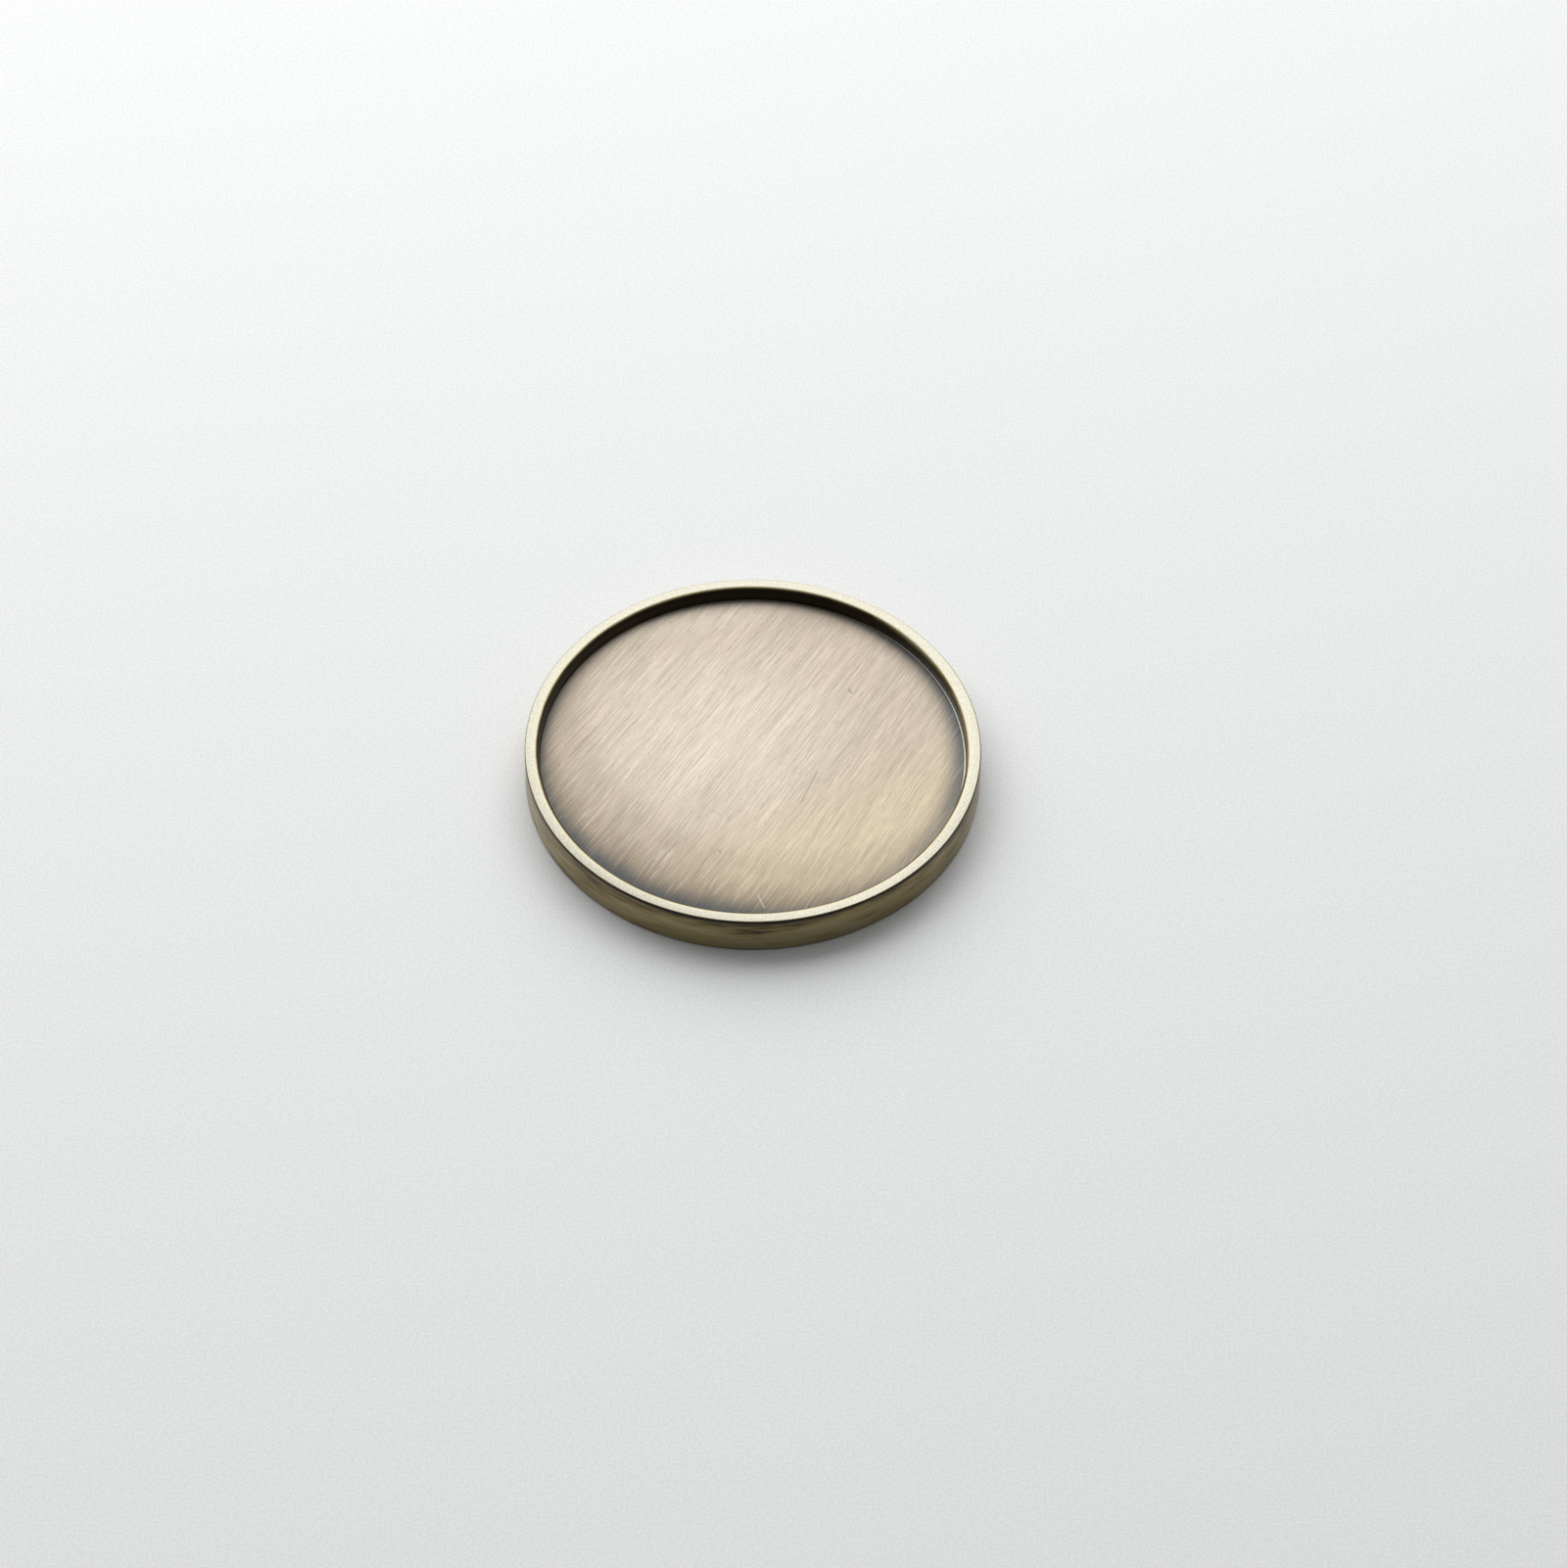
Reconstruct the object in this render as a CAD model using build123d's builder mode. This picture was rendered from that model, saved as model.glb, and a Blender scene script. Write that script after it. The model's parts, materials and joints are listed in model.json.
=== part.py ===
from build123d import *
import os

os.makedirs("parts", exist_ok=True)

# A golf ball marker: a round brass cup with a thin raised rim. A brushed face disc is glued into
# the recess on top, and a small disc magnet is glued into a blind pocket in the underside, so
# that the marker stays on a clip or a pitch-mark tool.
#
# Frame: millimetres, origin at the centre of the underside, +Z up out of the face.

# ---------------------------------------------------------------- driving dimensions

# Cup
marker_diameter = 25.0
marker_height = 2.35
rim_width = 0.80            # wall of the cup around the recess
rim_inner_round = 0.32      # soft inner lip, from the rim's flat down into the recess
rim_outer_round = 0.08      # crisp outer corner of the rim
base_round = 0.10           # broken corner around the underside
web_thickness = 0.30        # brass left between the magnet pocket and the face seat

# Seat of the face disc
seat_ledge = 0.17           # shelf left around the disc, at the foot of the recess wall
ledge_round = 0.10          # small root radius where that shelf meets the wall
face_clearance = 0.05       # gap around the disc, on the radius

# Face disc and the film that holds it
face_thickness = 0.30
face_edge_round = 0.03
face_film_thickness = 0.05
face_film_margin = 0.25     # the film is cut this much smaller than the disc, on the radius

# Magnet, its pocket and its glue
magnet_diameter = 10.0
magnet_thickness = 0.80
magnet_edge_round = 0.12
magnet_clearance = 0.10     # gap around the magnet, on the radius
magnet_setback = 0.05       # the magnet sits this far inside the underside
magnet_glue_thickness = 0.05

# ---------------------------------------------------------------- sizes that follow

rim_radius = marker_diameter / 2
recess_radius = rim_radius - rim_width
seat_radius = recess_radius - seat_ledge
face_radius = seat_radius - face_clearance
face_film_radius = face_radius - face_film_margin
magnet_radius = magnet_diameter / 2
pocket_radius = magnet_radius + magnet_clearance

# Levels, from the underside up
magnet_top = magnet_setback + magnet_thickness
pocket_roof = magnet_top + magnet_glue_thickness
seat_floor = pocket_roof + web_thickness
film_top = seat_floor + face_film_thickness
face_top = film_top + face_thickness
recess_depth = marker_height - face_top

# The lip and the root radius share the recess wall, so the lip takes at most half of it.
lip_round = min(rim_inner_round, recess_depth / 2)


def disc(radius, bottom, top, mode=Mode.ADD):
    """Add a plain disc about the Z axis, between two levels, to the part being built.

    With Mode.SUBTRACT the same disc is cut out of the part, as a round bore.
    """
    with BuildSketch(Plane.XY.offset(bottom)) as outline:
        Circle(radius)
    extrude(outline.sketch, amount=top - bottom, mode=mode)


# ---------------------------------------------------------------- rim_cup
# Turned in one piece: blank, recess with its soft lip, seat for the face disc, magnet pocket.

with BuildPart() as rim_cup:
    disc(rim_radius, 0, marker_height)
    fillet(rim_cup.edges().group_by(Axis.Z)[0], base_round)
    fillet(rim_cup.edges().group_by(Axis.Z)[-1], rim_outer_round)

    disc(recess_radius, face_top, marker_height, mode=Mode.SUBTRACT)
    recess_edges = rim_cup.edges(Select.LAST).group_by(Axis.Z)
    fillet(recess_edges[0], ledge_round)
    recess_mouth = rim_cup.faces().sort_by(Axis.Z)[-1].inner_wires()[0].edges()
    fillet(recess_mouth, lip_round)

    disc(seat_radius, seat_floor, face_top, mode=Mode.SUBTRACT)
    disc(pocket_radius, 0, pocket_roof, mode=Mode.SUBTRACT)

rim_cup.part.label = "rim_cup"

# ---------------------------------------------------------------- face_disc
# Blanked from brushed sheet: its top is flush with the shelf around it.

with BuildPart() as face_disc:
    disc(face_radius, film_top, face_top)
    fillet(face_disc.edges().group_by(Axis.Z)[-1], face_edge_round)

face_disc.part.label = "face_disc"

# ---------------------------------------------------------------- face_film
# Double-sided film between the seat and the disc.

with BuildPart() as face_film:
    disc(face_film_radius, seat_floor, film_top)

face_film.part.label = "face_film"

# ---------------------------------------------------------------- magnet
# Plated neodymium disc, its poles on the two flat sides.

with BuildPart() as magnet:
    disc(magnet_radius, magnet_setback, magnet_top)
    fillet(magnet.edges(), magnet_edge_round)

magnet.part.label = "magnet"

# ---------------------------------------------------------------- magnet_glue
# Drop of epoxy pressed flat between the magnet and the pocket's roof. It covers the flat of the
# magnet, inside the rounded corner.

with BuildPart() as magnet_glue:
    disc(magnet_radius - magnet_edge_round, magnet_top, pocket_roof)

magnet_glue.part.label = "magnet_glue"

# ---------------------------------------------------------------- files

for piece in (rim_cup, face_disc, face_film, magnet, magnet_glue):
    export_step(piece.part, f"parts/{piece.part.label}.step")
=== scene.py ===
# %% [markdown]
# # A brass ball marker, turned and brushed in Blender
#
# A golf ball marker is a coin that a player lays on the green. This one is a shallow brass cup
# with a thin raised rim. A disc of brushed sheet is let into the cup, and a small magnet sits in
# the underside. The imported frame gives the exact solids, so this script only has to give them
# their finish: rounded corners that catch the light, brushing, and an antique colour that is
# rubbed bright where a thumb would touch it.

# %% Load the frame
import json

import bpy
import numpy as np
from mathutils import Matrix, Vector


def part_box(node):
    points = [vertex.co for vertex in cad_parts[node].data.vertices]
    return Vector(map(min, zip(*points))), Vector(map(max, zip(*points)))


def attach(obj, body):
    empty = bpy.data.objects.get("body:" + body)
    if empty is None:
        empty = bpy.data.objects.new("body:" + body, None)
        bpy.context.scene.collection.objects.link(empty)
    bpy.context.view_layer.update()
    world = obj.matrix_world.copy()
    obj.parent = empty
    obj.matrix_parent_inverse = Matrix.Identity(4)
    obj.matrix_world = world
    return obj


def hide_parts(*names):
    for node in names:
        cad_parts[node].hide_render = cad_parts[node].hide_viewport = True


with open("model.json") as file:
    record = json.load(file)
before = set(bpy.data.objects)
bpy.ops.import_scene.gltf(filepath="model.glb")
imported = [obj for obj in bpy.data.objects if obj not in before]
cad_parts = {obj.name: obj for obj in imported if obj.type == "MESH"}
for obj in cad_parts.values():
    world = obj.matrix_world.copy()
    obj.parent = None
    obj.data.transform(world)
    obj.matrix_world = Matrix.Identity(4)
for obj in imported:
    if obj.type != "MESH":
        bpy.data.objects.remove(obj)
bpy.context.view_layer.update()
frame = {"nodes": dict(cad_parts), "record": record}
MM = 0.001
print("CAD nodes:", sorted(frame["nodes"]))

# %% [markdown]
# ## Sizes
#
# Every size that the frame can give is read from it: outer radius and height from the cup's box,
# levels from the pieces stacked inside it, and the recess radius from the record's mount. Only
# the small corner radii and gaps are written here, because a box can't show them.

# %% Read the sizes from the frame
mount_radius = {m["name"]: m["dims"].get("r_mm") for m in frame["record"]["mounts"]}
cup_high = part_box("rim_cup")[1]
disc_low, disc_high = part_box("face_disc")
film_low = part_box("face_film")[0]
magnet_low, magnet_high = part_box("magnet")
glue_low, glue_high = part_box("magnet_glue")

RIM_RADIUS = cup_high.x
RIM_TOP = cup_high.z
RECESS_RADIUS = mount_radius["face_recess"] * MM
FACE_RADIUS = disc_high.x
FACE_TOP = disc_high.z
FACE_GAP = 0.05 * MM            # clearance between the disc and its seat
SEAT_RADIUS = FACE_RADIUS + FACE_GAP
BURR = 0.03 * MM                # thickness of the edge that the brushing turned over the ledge
SEAM = 0.02 * MM                # gap left between that edge and the recess wall
MAGNET_RADIUS = magnet_high.x
POCKET_GAP = 0.10 * MM          # clearance between the magnet and its pocket
POCKET_RADIUS = MAGNET_RADIUS + POCKET_GAP

LIP_ROUND = 0.32 * MM           # soft inner lip of the rim
RIM_ROUND = 0.08 * MM           # crisp outer corner of the rim
BASE_ROUND = 0.10 * MM          # corner round the underside
ROOT_ROUND = 0.03 * MM          # foot of the recess wall
SMALL_ROUND = 0.02 * MM         # deburred inner corners
MAGNET_ROUND = 0.12 * MM        # tumbled edges of the magnet
TINY = 0.001 * MM               # slack for comparing sizes
print(f"marker {2 * RIM_RADIUS / MM:.1f} mm across, {RIM_TOP / MM:.2f} mm high")

# %% [markdown]
# ## Turning a profile
#
# A lathe makes every solid here, so one helper draws a rounded profile and a second one spins it.
# Blender has a Screw modifier for this, but working the surface out as a grid of angle and
# profile station keeps every vertex addressable: the same grid later carries small dents and the
# values that say how far the finish is rubbed.
#
# A smooth-shaded flat next to a tight corner picks up a false bend, because normals are averaged
# across the join. Two extra stations, a few microns from the ends of each run, keep it flat.

# %% Straight runs between the corners
SUPPORT = 0.006 * MM            # how close to a corner the extra stations are


def fill_runs(stations, run_step):
    """Join the arcs with straight runs.

    A run has one station at SUPPORT from each end, and even ones between, about run_step apart.
    """
    line = [stations[0]]
    for before, after in zip(stations[:-1], stations[1:]):
        start, end = before[-1], after[0]
        length = np.linalg.norm(end - start)
        if length > 3 * SUPPORT:
            count = max(1, int(round(length / run_step)))
            share = np.linspace(SUPPORT / length, 1 - SUPPORT / length, count + 1)
            line.append(start + share[:, None] * (end - start))
        line.append(after)
    return np.vstack(line)


# %% A profile with rounded corners
def rounded_profile(corners, steps, run_step):
    """Stations (radius, height) along a profile whose corners are rounded.

    corners is a list of (radius, height, round). At a corner P, between unit directions a (back)
    and b (ahead), the arc leaves the runs at a distance t = round / tan(half the angle between
    them), and its centre lies round / sin(half angle) along the bisector.
    The points between go round that centre at even angles.
    """
    points = np.array([c[:2] for c in corners])
    stations = [points[:1]]
    for i in range(1, len(corners) - 1):
        bend = corners[i][2]
        back = points[i - 1] - points[i]
        ahead = points[i + 1] - points[i]
        back, ahead = back / np.linalg.norm(back), ahead / np.linalg.norm(ahead)
        half = np.arccos(np.clip(back @ ahead, -1, 1)) / 2
        reach = bend / np.tan(half)
        centre = points[i] + (back + ahead) / np.linalg.norm(back + ahead) * bend / np.sin(half)
        start, end = points[i] + back * reach - centre, points[i] + ahead * reach - centre
        sweep = np.arctan2(start[0] * end[1] - start[1] * end[0], start @ end)
        angles = np.arctan2(start[1], start[0]) + np.linspace(0, sweep, steps + 1)
        stations.append(centre + bend * np.column_stack([np.cos(angles), np.sin(angles)]))
    stations.append(points[-1:])
    return fill_runs(stations, run_step)


# %% Spin a profile into a closed mesh
def angles_round(turns):
    """Even angles all the way round the axis, as a column of numbers."""
    return np.linspace(0, 2 * np.pi, turns, endpoint=False)[:, None]


def turned_mesh(name, profile, turns, shape=None):
    """A closed surface of revolution about Z, as a mesh.

    A point at angle a and station k is (r cos a, r sin a, z), with (r, z) the profile's k-th
    station. The first and last stations lie on the axis and are one vertex each. shape, if given,
    takes the arrays (angle, radius, height) of the rings and returns new (radius, height).
    """
    angle = angles_round(turns)
    radius = np.broadcast_to(profile[1:-1, 0], (turns, len(profile) - 2))
    height = np.broadcast_to(profile[1:-1, 1], radius.shape)
    if shape:
        radius, height = shape(angle, radius, height)
    rings = np.stack([radius * np.cos(angle), radius * np.sin(angle), height], axis=2).reshape(-1, 3)
    poles = np.array([[0, 0, profile[0, 1]], [0, 0, profile[-1, 1]]])

    here = np.arange(turns)[:, None] * radius.shape[1] + np.arange(radius.shape[1])
    beside = np.roll(here, -1, axis=0)
    quads = np.stack([here[:, :-1], beside[:, :-1], beside[:, 1:], here[:, 1:]], axis=2).reshape(-1, 4)
    first, last = len(rings), len(rings) + 1
    start_fan = np.column_stack([np.full(turns, first), beside[:, 0], here[:, 0]])
    end_fan = np.column_stack([here[:, -1], beside[:, -1], np.full(turns, last)])
    return closed_mesh(name, np.vstack([rings, poles]), [quads, start_fan, end_fan])


def closed_mesh(name, vertices, face_blocks):
    """A smooth mesh from an array of points and blocks of faces, each block with one face size."""
    corners = np.concatenate([block.ravel() for block in face_blocks]).astype(np.int32)
    sizes = np.concatenate([np.full(len(block), block.shape[1]) for block in face_blocks]).astype(np.int32)
    mesh = bpy.data.meshes.new(name)
    mesh.vertices.add(len(vertices))
    mesh.vertices.foreach_set("co", vertices.astype(np.float32).ravel())
    mesh.loops.add(len(corners))
    mesh.loops.foreach_set("vertex_index", corners)
    mesh.polygons.add(len(sizes))
    mesh.polygons.foreach_set("loop_start", (np.cumsum(sizes) - sizes).astype(np.int32))
    mesh.polygons.foreach_set("loop_total", sizes)
    mesh.polygons.foreach_set("use_smooth", np.ones(len(sizes), bool))
    mesh.update(calc_edges=True)
    mesh.validate()
    return mesh


# %% Put a finished mesh in its place
def place(name, mesh, node):
    """Link a finished mesh as the piece that stands for a CAD node, riding on the marker's body."""
    piece = bpy.data.objects.new(name, mesh)
    bpy.context.scene.collection.objects.link(piece)
    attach(piece, "root")
    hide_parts(node)
    print(f"{name}: {len(mesh.vertices)} vertices, {len(mesh.polygons)} faces")
    return piece


# %% [markdown]
# ## The cup
#
# The real cup is turned from bar in one piece. Its profile starts on the axis at the roof of the
# magnet pocket, goes out under the marker, up the side, over the rim and down into the recess,
# and ends on the axis at the floor under the face disc.
#
# A coin lives among keys, so the rim carries a few nicks. They are pushed into the mesh as smooth
# dimples rather than painted, so they catch light from every side.

# %% The cup's profile
CUP_TURNS = 640
LEDGE_TOP = FACE_TOP - 2 * BURR
cup_profile = rounded_profile([
    (0, glue_high.z, 0),
    (POCKET_RADIUS, glue_high.z, SMALL_ROUND),
    (POCKET_RADIUS, 0, SMALL_ROUND),
    (RIM_RADIUS, 0, BASE_ROUND),
    (RIM_RADIUS, RIM_TOP, RIM_ROUND),
    (RECESS_RADIUS, RIM_TOP, LIP_ROUND),
    (RECESS_RADIUS, LEDGE_TOP, ROOT_ROUND),
    (SEAT_RADIUS, LEDGE_TOP, SMALL_ROUND),
    (SEAT_RADIUS, film_low.z, SMALL_ROUND),
    (0, film_low.z, 0),
], steps=8, run_step=0.6 * MM)
print("cup profile:", len(cup_profile), "stations")

# %% Nicks in the rim
# Each nick is (angle in degrees, radius, height, width, depth), in millimetres.
RIM_NICKS = [
    (39.0, 12.46, 2.32, 0.12, 0.020),
    (102.0, 12.47, 2.30, 0.10, 0.012),
    (163.0, 12.10, 2.35, 0.14, 0.008),
    (228.0, 12.48, 2.31, 0.16, 0.014),
    (262.0, 12.30, 2.35, 0.12, 0.007),
    (311.0, 12.50, 0.07, 0.22, 0.018),
    (338.0, 12.47, 2.32, 0.12, 0.012),
    (17.0, 12.50, 0.06, 0.18, 0.015),
]


def nick_rim(angle, radius, height):
    """Push small dimples into the rim.

    Each dimple moves the surface towards the middle of the wall by depth times
    exp(-(distance / width) squared), with the distance measured to the nick's place.
    """
    wall_middle = (RIM_RADIUS + RECESS_RADIUS) / 2
    x, y = radius * np.cos(angle), radius * np.sin(angle)
    push = np.zeros(radius.shape)
    for degrees, at_radius, at_height, width, depth in RIM_NICKS:
        a = np.radians(degrees)
        nick_x, nick_y = at_radius * MM * np.cos(a), at_radius * MM * np.sin(a)
        distance2 = (x - nick_x) ** 2 + (y - nick_y) ** 2 + (height - at_height * MM) ** 2
        push += depth * MM * np.exp(-distance2 / (width * MM) ** 2)
    outward = radius - wall_middle, height - RIM_TOP / 2
    length = np.hypot(*outward)
    return radius - push * outward[0] / length, height - push * outward[1] / length


cup_mesh = turned_mesh("rim_cup_turned", cup_profile, CUP_TURNS, nick_rim)
rim_cup = place("rim_cup_turned", cup_mesh, "rim_cup")

# %% [markdown]
# ## How far the cup was rubbed
#
# Antique brass is blackened all over and then rubbed back by hand, so its colour says where the
# cloth went. A material could guess that from the curvature, but the profile already knows which
# part is rim, side or corner. So the amount of rubbing is worked out here, one number for each
# station, and stored in the mesh for the material to read.

# %% Rubbing along the profile
WALL_RUB = 0.09                                     # the recess wall
UNDER_RUB, UNDER_EDGE_RUB = 0.42, 0.20              # the underside, and more at its edge
SIDE_RUB, MIDDLE_RUB, FOOT_LIFT = 0.22, 0.24, 0.22   # the side, more at mid-height, lighter towards its foot
TOP_LOSS = 0.3                                      # share that the upper side keeps dark
BASE_RUB, CORNER_RUB = 0.20, 0.08                   # the corners below and above the side
LIP_START, LIP_SPAN = 0.82, 0.17                    # where the lip turns bare, by share of its height


def rise(value, start, length):
    """0 up to a start, 1 from a length above it, and even in between."""
    return np.clip((value - start) / length, 0, 1)


def rub_of_cup(profile):
    """Rub, from 0 (full dark patina) to 1 (bare bright brass), at each station of the cup.

    The side is a low hill: SIDE_RUB, plus MIDDLE_RUB times a root of the sine of the height, plus
    FOOT_LIFT times the square of what is left above, and a share TOP_LOSS less of all that at the
    top. The underside grows paler with the fourth power of the radius. The outer corner and the
    lip turn from dark to bare as they reach the flat of the rim. The recess wall keeps its patina.
    """
    r, z = profile[:, 0], profile[:, 1]
    up_side = np.clip(z / RIM_TOP, 0, 1)
    hill = SIDE_RUB + MIDDLE_RUB * np.sin(np.pi * up_side) ** 0.6 + FOOT_LIFT * (1 - up_side) ** 2
    hill = hill * (1 - TOP_LOSS * rise(up_side, 0.5, 0.4))
    rub = np.where(r > RIM_RADIUS - TINY, hill, WALL_RUB)
    under = (z < TINY) & (r > POCKET_RADIUS)
    rub = np.where(under, UNDER_RUB + UNDER_EDGE_RUB * (r / RIM_RADIUS) ** 4, rub)
    base_arc = (z > TINY) & (z < BASE_ROUND) & (r > RIM_RADIUS - BASE_ROUND)
    rub = np.where(base_arc, BASE_RUB, rub)
    over = rise(z, RIM_TOP - RIM_ROUND, RIM_ROUND)
    on_corner = (over > 0) & (r > RIM_RADIUS - RIM_ROUND)
    rub = np.where(on_corner, CORNER_RUB + (1 - CORNER_RUB) * over ** 3, rub)
    lip = rise(z, RIM_TOP - LIP_ROUND, LIP_ROUND)
    on_lip = (lip > 0) & (r <= RIM_RADIUS - RIM_ROUND)
    return np.where(on_lip, WALL_RUB + (1 - WALL_RUB) * rise(lip, LIP_START, LIP_SPAN) ** 1.2, rub)


def spread_over_rings(profile_values, turns):
    """One value per vertex from one value per profile station: the same all the way round."""
    return np.concatenate([np.tile(profile_values[1:-1], turns), profile_values[[0, -1]]])


cup_rub = spread_over_rings(rub_of_cup(cup_profile), CUP_TURNS)
print(f"rub along the profile: {cup_rub.min():.2f} to {cup_rub.max():.2f}")

# %% [markdown]
# Two more values paint light and shade on the cup. The flat of the rim is painted darker in its middle, so
# that its edges stay brightest, and darker again on the sides where it mirrors less of the softbox:
# painted shade, with a little duller, scratched tone. Opposite the widest of those sides the wall below
# the lip is painted lighter: a painted reflection of the softbox. Both follow the same bell over the
# angle.

# %% Painted shade on the rim, and a painted reflection on the wall
# Each hill is (height, angle in degrees, width in degrees).
DULL_SHADE_HILLS = [(0.85, 230, 45), (0.36, 328, 26)]
DULL_SHADE_ALL_ROUND = 0.27
DULL_SHADE_MIDDLE, DULL_SHADE_WIDTH = RIM_RADIUS - 0.22 * MM, 0.26 * MM
FLAT_SLACK = 0.02 * MM          # how far under the rim's top still counts as its flat
# Where the painted reflection on the wall below the lip is centred, and how wide it is.
LIP_REFLECTION_ANGLE, LIP_REFLECTION_WIDTH = 18, 34     # degrees


def bell(angle, centre, width):
    """A bell over the angle round the axis, exp(-(angle from the centre / width) squared)."""
    away = np.angle(np.exp(1j * (angle - np.radians(centre))))
    return np.exp(-(away / np.radians(width)) ** 2)


def dullness_and_shade_of_cup(profile, turns):
    """Dullness and painted shade on the rim's flat, from 0 to 1, at each vertex of the cup.

    Across the flat of the rim it is exp(-((radius - DULL_SHADE_MIDDLE) / DULL_SHADE_WIDTH) squared), so
    the two edges stay brightest. Round the rim it is DULL_SHADE_ALL_ROUND plus a bell for each hill.
    """
    r, z = profile[1:-1, 0], profile[1:-1, 1]
    across = np.exp(-((r - DULL_SHADE_MIDDLE) / DULL_SHADE_WIDTH) ** 2) * (z > RIM_TOP - FLAT_SLACK)
    around = DULL_SHADE_ALL_ROUND
    for hill, degrees, width in DULL_SHADE_HILLS:
        around = around + hill * bell(angles_round(turns), degrees, width)
    return np.concatenate([(across * around).ravel(), [0, 0]])


def lip_painted_reflection(profile, turns):
    """A painted reflection of the softbox on the recess wall below the lip, at each vertex of the cup.

    It grows with the fifth power of the height above the face, times a bell over the angle.
    """
    r, z = profile[1:-1, 0], profile[1:-1, 1]
    on_wall = (r > RECESS_RADIUS - TINY) & (r < RIM_RADIUS - RIM_ROUND)
    climb = rise(z, FACE_TOP, RIM_TOP - FACE_TOP) * on_wall
    wear_and_reflection = climb ** 5 * bell(angles_round(turns), LIP_REFLECTION_ANGLE, LIP_REFLECTION_WIDTH)
    return np.concatenate([wear_and_reflection.ravel(), [0, 0]])


# %% Store both values in the cup's mesh
def add_values(mesh, name, values):
    """Store one number per vertex under a name that a material can read."""
    mesh.attributes.new(name, "FLOAT", "POINT").data.foreach_set("value", values.astype(np.float32))
    print(f"{name}: {values.min():.2f} to {values.max():.2f}")


# The rub value carries the painted reflection on the wall below the lip as well as the rubbing.
add_values(cup_mesh, "rub", np.clip(cup_rub + lip_painted_reflection(cup_profile, CUP_TURNS), 0, 1))
# Painted shade on the rim's flat, with some duller tone.
add_values(cup_mesh, "dull_and_shade", dullness_and_shade_of_cup(cup_profile, CUP_TURNS))

# %% [markdown]
# ## The face disc
#
# The face is stamped out of sheet that was brushed first, so its top edge rolls over a little
# where the punch went in. A flat cylinder would end in a hard line; the roll is what makes the
# edge go dark, because it turns away from the light. The last brushing was done with the disc in
# place and drew its edge out over the ledge, so only a hair of a seam is left beside the wall.
#
# Brushed metal spreads light sideways from its grooves, and the shader has to know which way that
# is. The disc carries a flat map for it: one unit to the millimetre, turned so that U runs
# straight across the grain and V along it.

# %% The disc's profile and mesh
DISC_TURNS = 720
BRUSHED_RADIUS = RECESS_RADIUS - SEAM
ROLL_WIDTH = 0.30 * MM
ROLL_DROP = 0.008 * MM
disc_profile = rounded_profile([
    (0, disc_low.z, 0),
    (FACE_RADIUS, disc_low.z, SMALL_ROUND),
    (FACE_RADIUS, FACE_TOP - BURR, BURR / 6),
    (BRUSHED_RADIUS, FACE_TOP - BURR, BURR / 6),
    (BRUSHED_RADIUS, FACE_TOP - ROLL_DROP, BURR / 3),
    (FACE_RADIUS - ROLL_WIDTH, FACE_TOP, ROLL_WIDTH / 3),
    (0, FACE_TOP, 0),
], steps=6, run_step=0.6 * MM)
disc_mesh = turned_mesh("face_disc_brushed", disc_profile, DISC_TURNS)
face_disc = place("face_disc_brushed", disc_mesh, "face_disc")

# %% A flat map turned with the grain
GRAIN_TURN = np.radians(60.0)   # the grain's angle from the X axis


def lay_flat_map(mesh, turn, name):
    """A map seen from above: U is x sin(turn) - y cos(turn), and V is x cos(turn) + y sin(turn)."""
    points = np.empty(3 * len(mesh.vertices), np.float32)
    mesh.vertices.foreach_get("co", points)
    x, y = points.reshape(-1, 3)[:, :2].T / MM
    vertex_of_corner = np.empty(len(mesh.loops), np.int32)
    mesh.loops.foreach_get("vertex_index", vertex_of_corner)
    u, v = x * np.sin(turn) - y * np.cos(turn), x * np.cos(turn) + y * np.sin(turn)
    flat = np.column_stack([u, v])[vertex_of_corner]
    mesh.uv_layers.new(name=name).data.foreach_set("uv", flat.astype(np.float32).ravel())
    print(f"{name}: {len(flat)} corners mapped")


lay_flat_map(disc_mesh, GRAIN_TURN, "across_grain")

# %% [markdown]
# ## The magnet and its glue
#
# A disc magnet has softly tumbled corners under its nickel. The epoxy that holds it is squeezed
# out round the edge and climbs both walls of the narrow gap, which leaves a hollow ring: a
# meniscus. That ring is all of the glue that anyone can see.

# %% Magnet
MAGNET_TURNS = 360
magnet_profile = rounded_profile([
    (0, magnet_low.z, 0),
    (MAGNET_RADIUS, magnet_low.z, MAGNET_ROUND),
    (MAGNET_RADIUS, magnet_high.z, MAGNET_ROUND),
    (0, magnet_high.z, 0),
], steps=9, run_step=0.5 * MM)
magnet_mesh = turned_mesh("magnet_plated", magnet_profile, MAGNET_TURNS)
magnet = place("magnet_plated", magnet_mesh, "magnet")

# %% Epoxy with its meniscus
FILM = 0.002 * MM               # keeps the glue's skin clear of the metal beside it
MENISCUS_EDGE = 0.16 * MM       # where the glue meets the walls, above the underside
MENISCUS_DIP = 0.05 * MM        # how far it sinks halfway between them
FINE_ROUND = SMALL_ROUND / 4
GAP_MIDDLE = MAGNET_RADIUS + POCKET_GAP / 2
glue_profile = rounded_profile([
    (0, glue_low.z + FILM, 0),
    (MAGNET_RADIUS - MAGNET_ROUND, glue_low.z + FILM, FINE_ROUND),
    (MAGNET_RADIUS + FILM, glue_low.z - MAGNET_ROUND, FINE_ROUND),
    (MAGNET_RADIUS + FILM, MENISCUS_EDGE, FINE_ROUND),
    (GAP_MIDDLE, MENISCUS_EDGE + MENISCUS_DIP, SMALL_ROUND),
    (POCKET_RADIUS - FILM, MENISCUS_EDGE, FINE_ROUND),
    (POCKET_RADIUS - FILM, glue_high.z - FILM, SMALL_ROUND),
    (0, glue_high.z - FILM, 0),
], steps=5, run_step=1.0 * MM)
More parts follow.
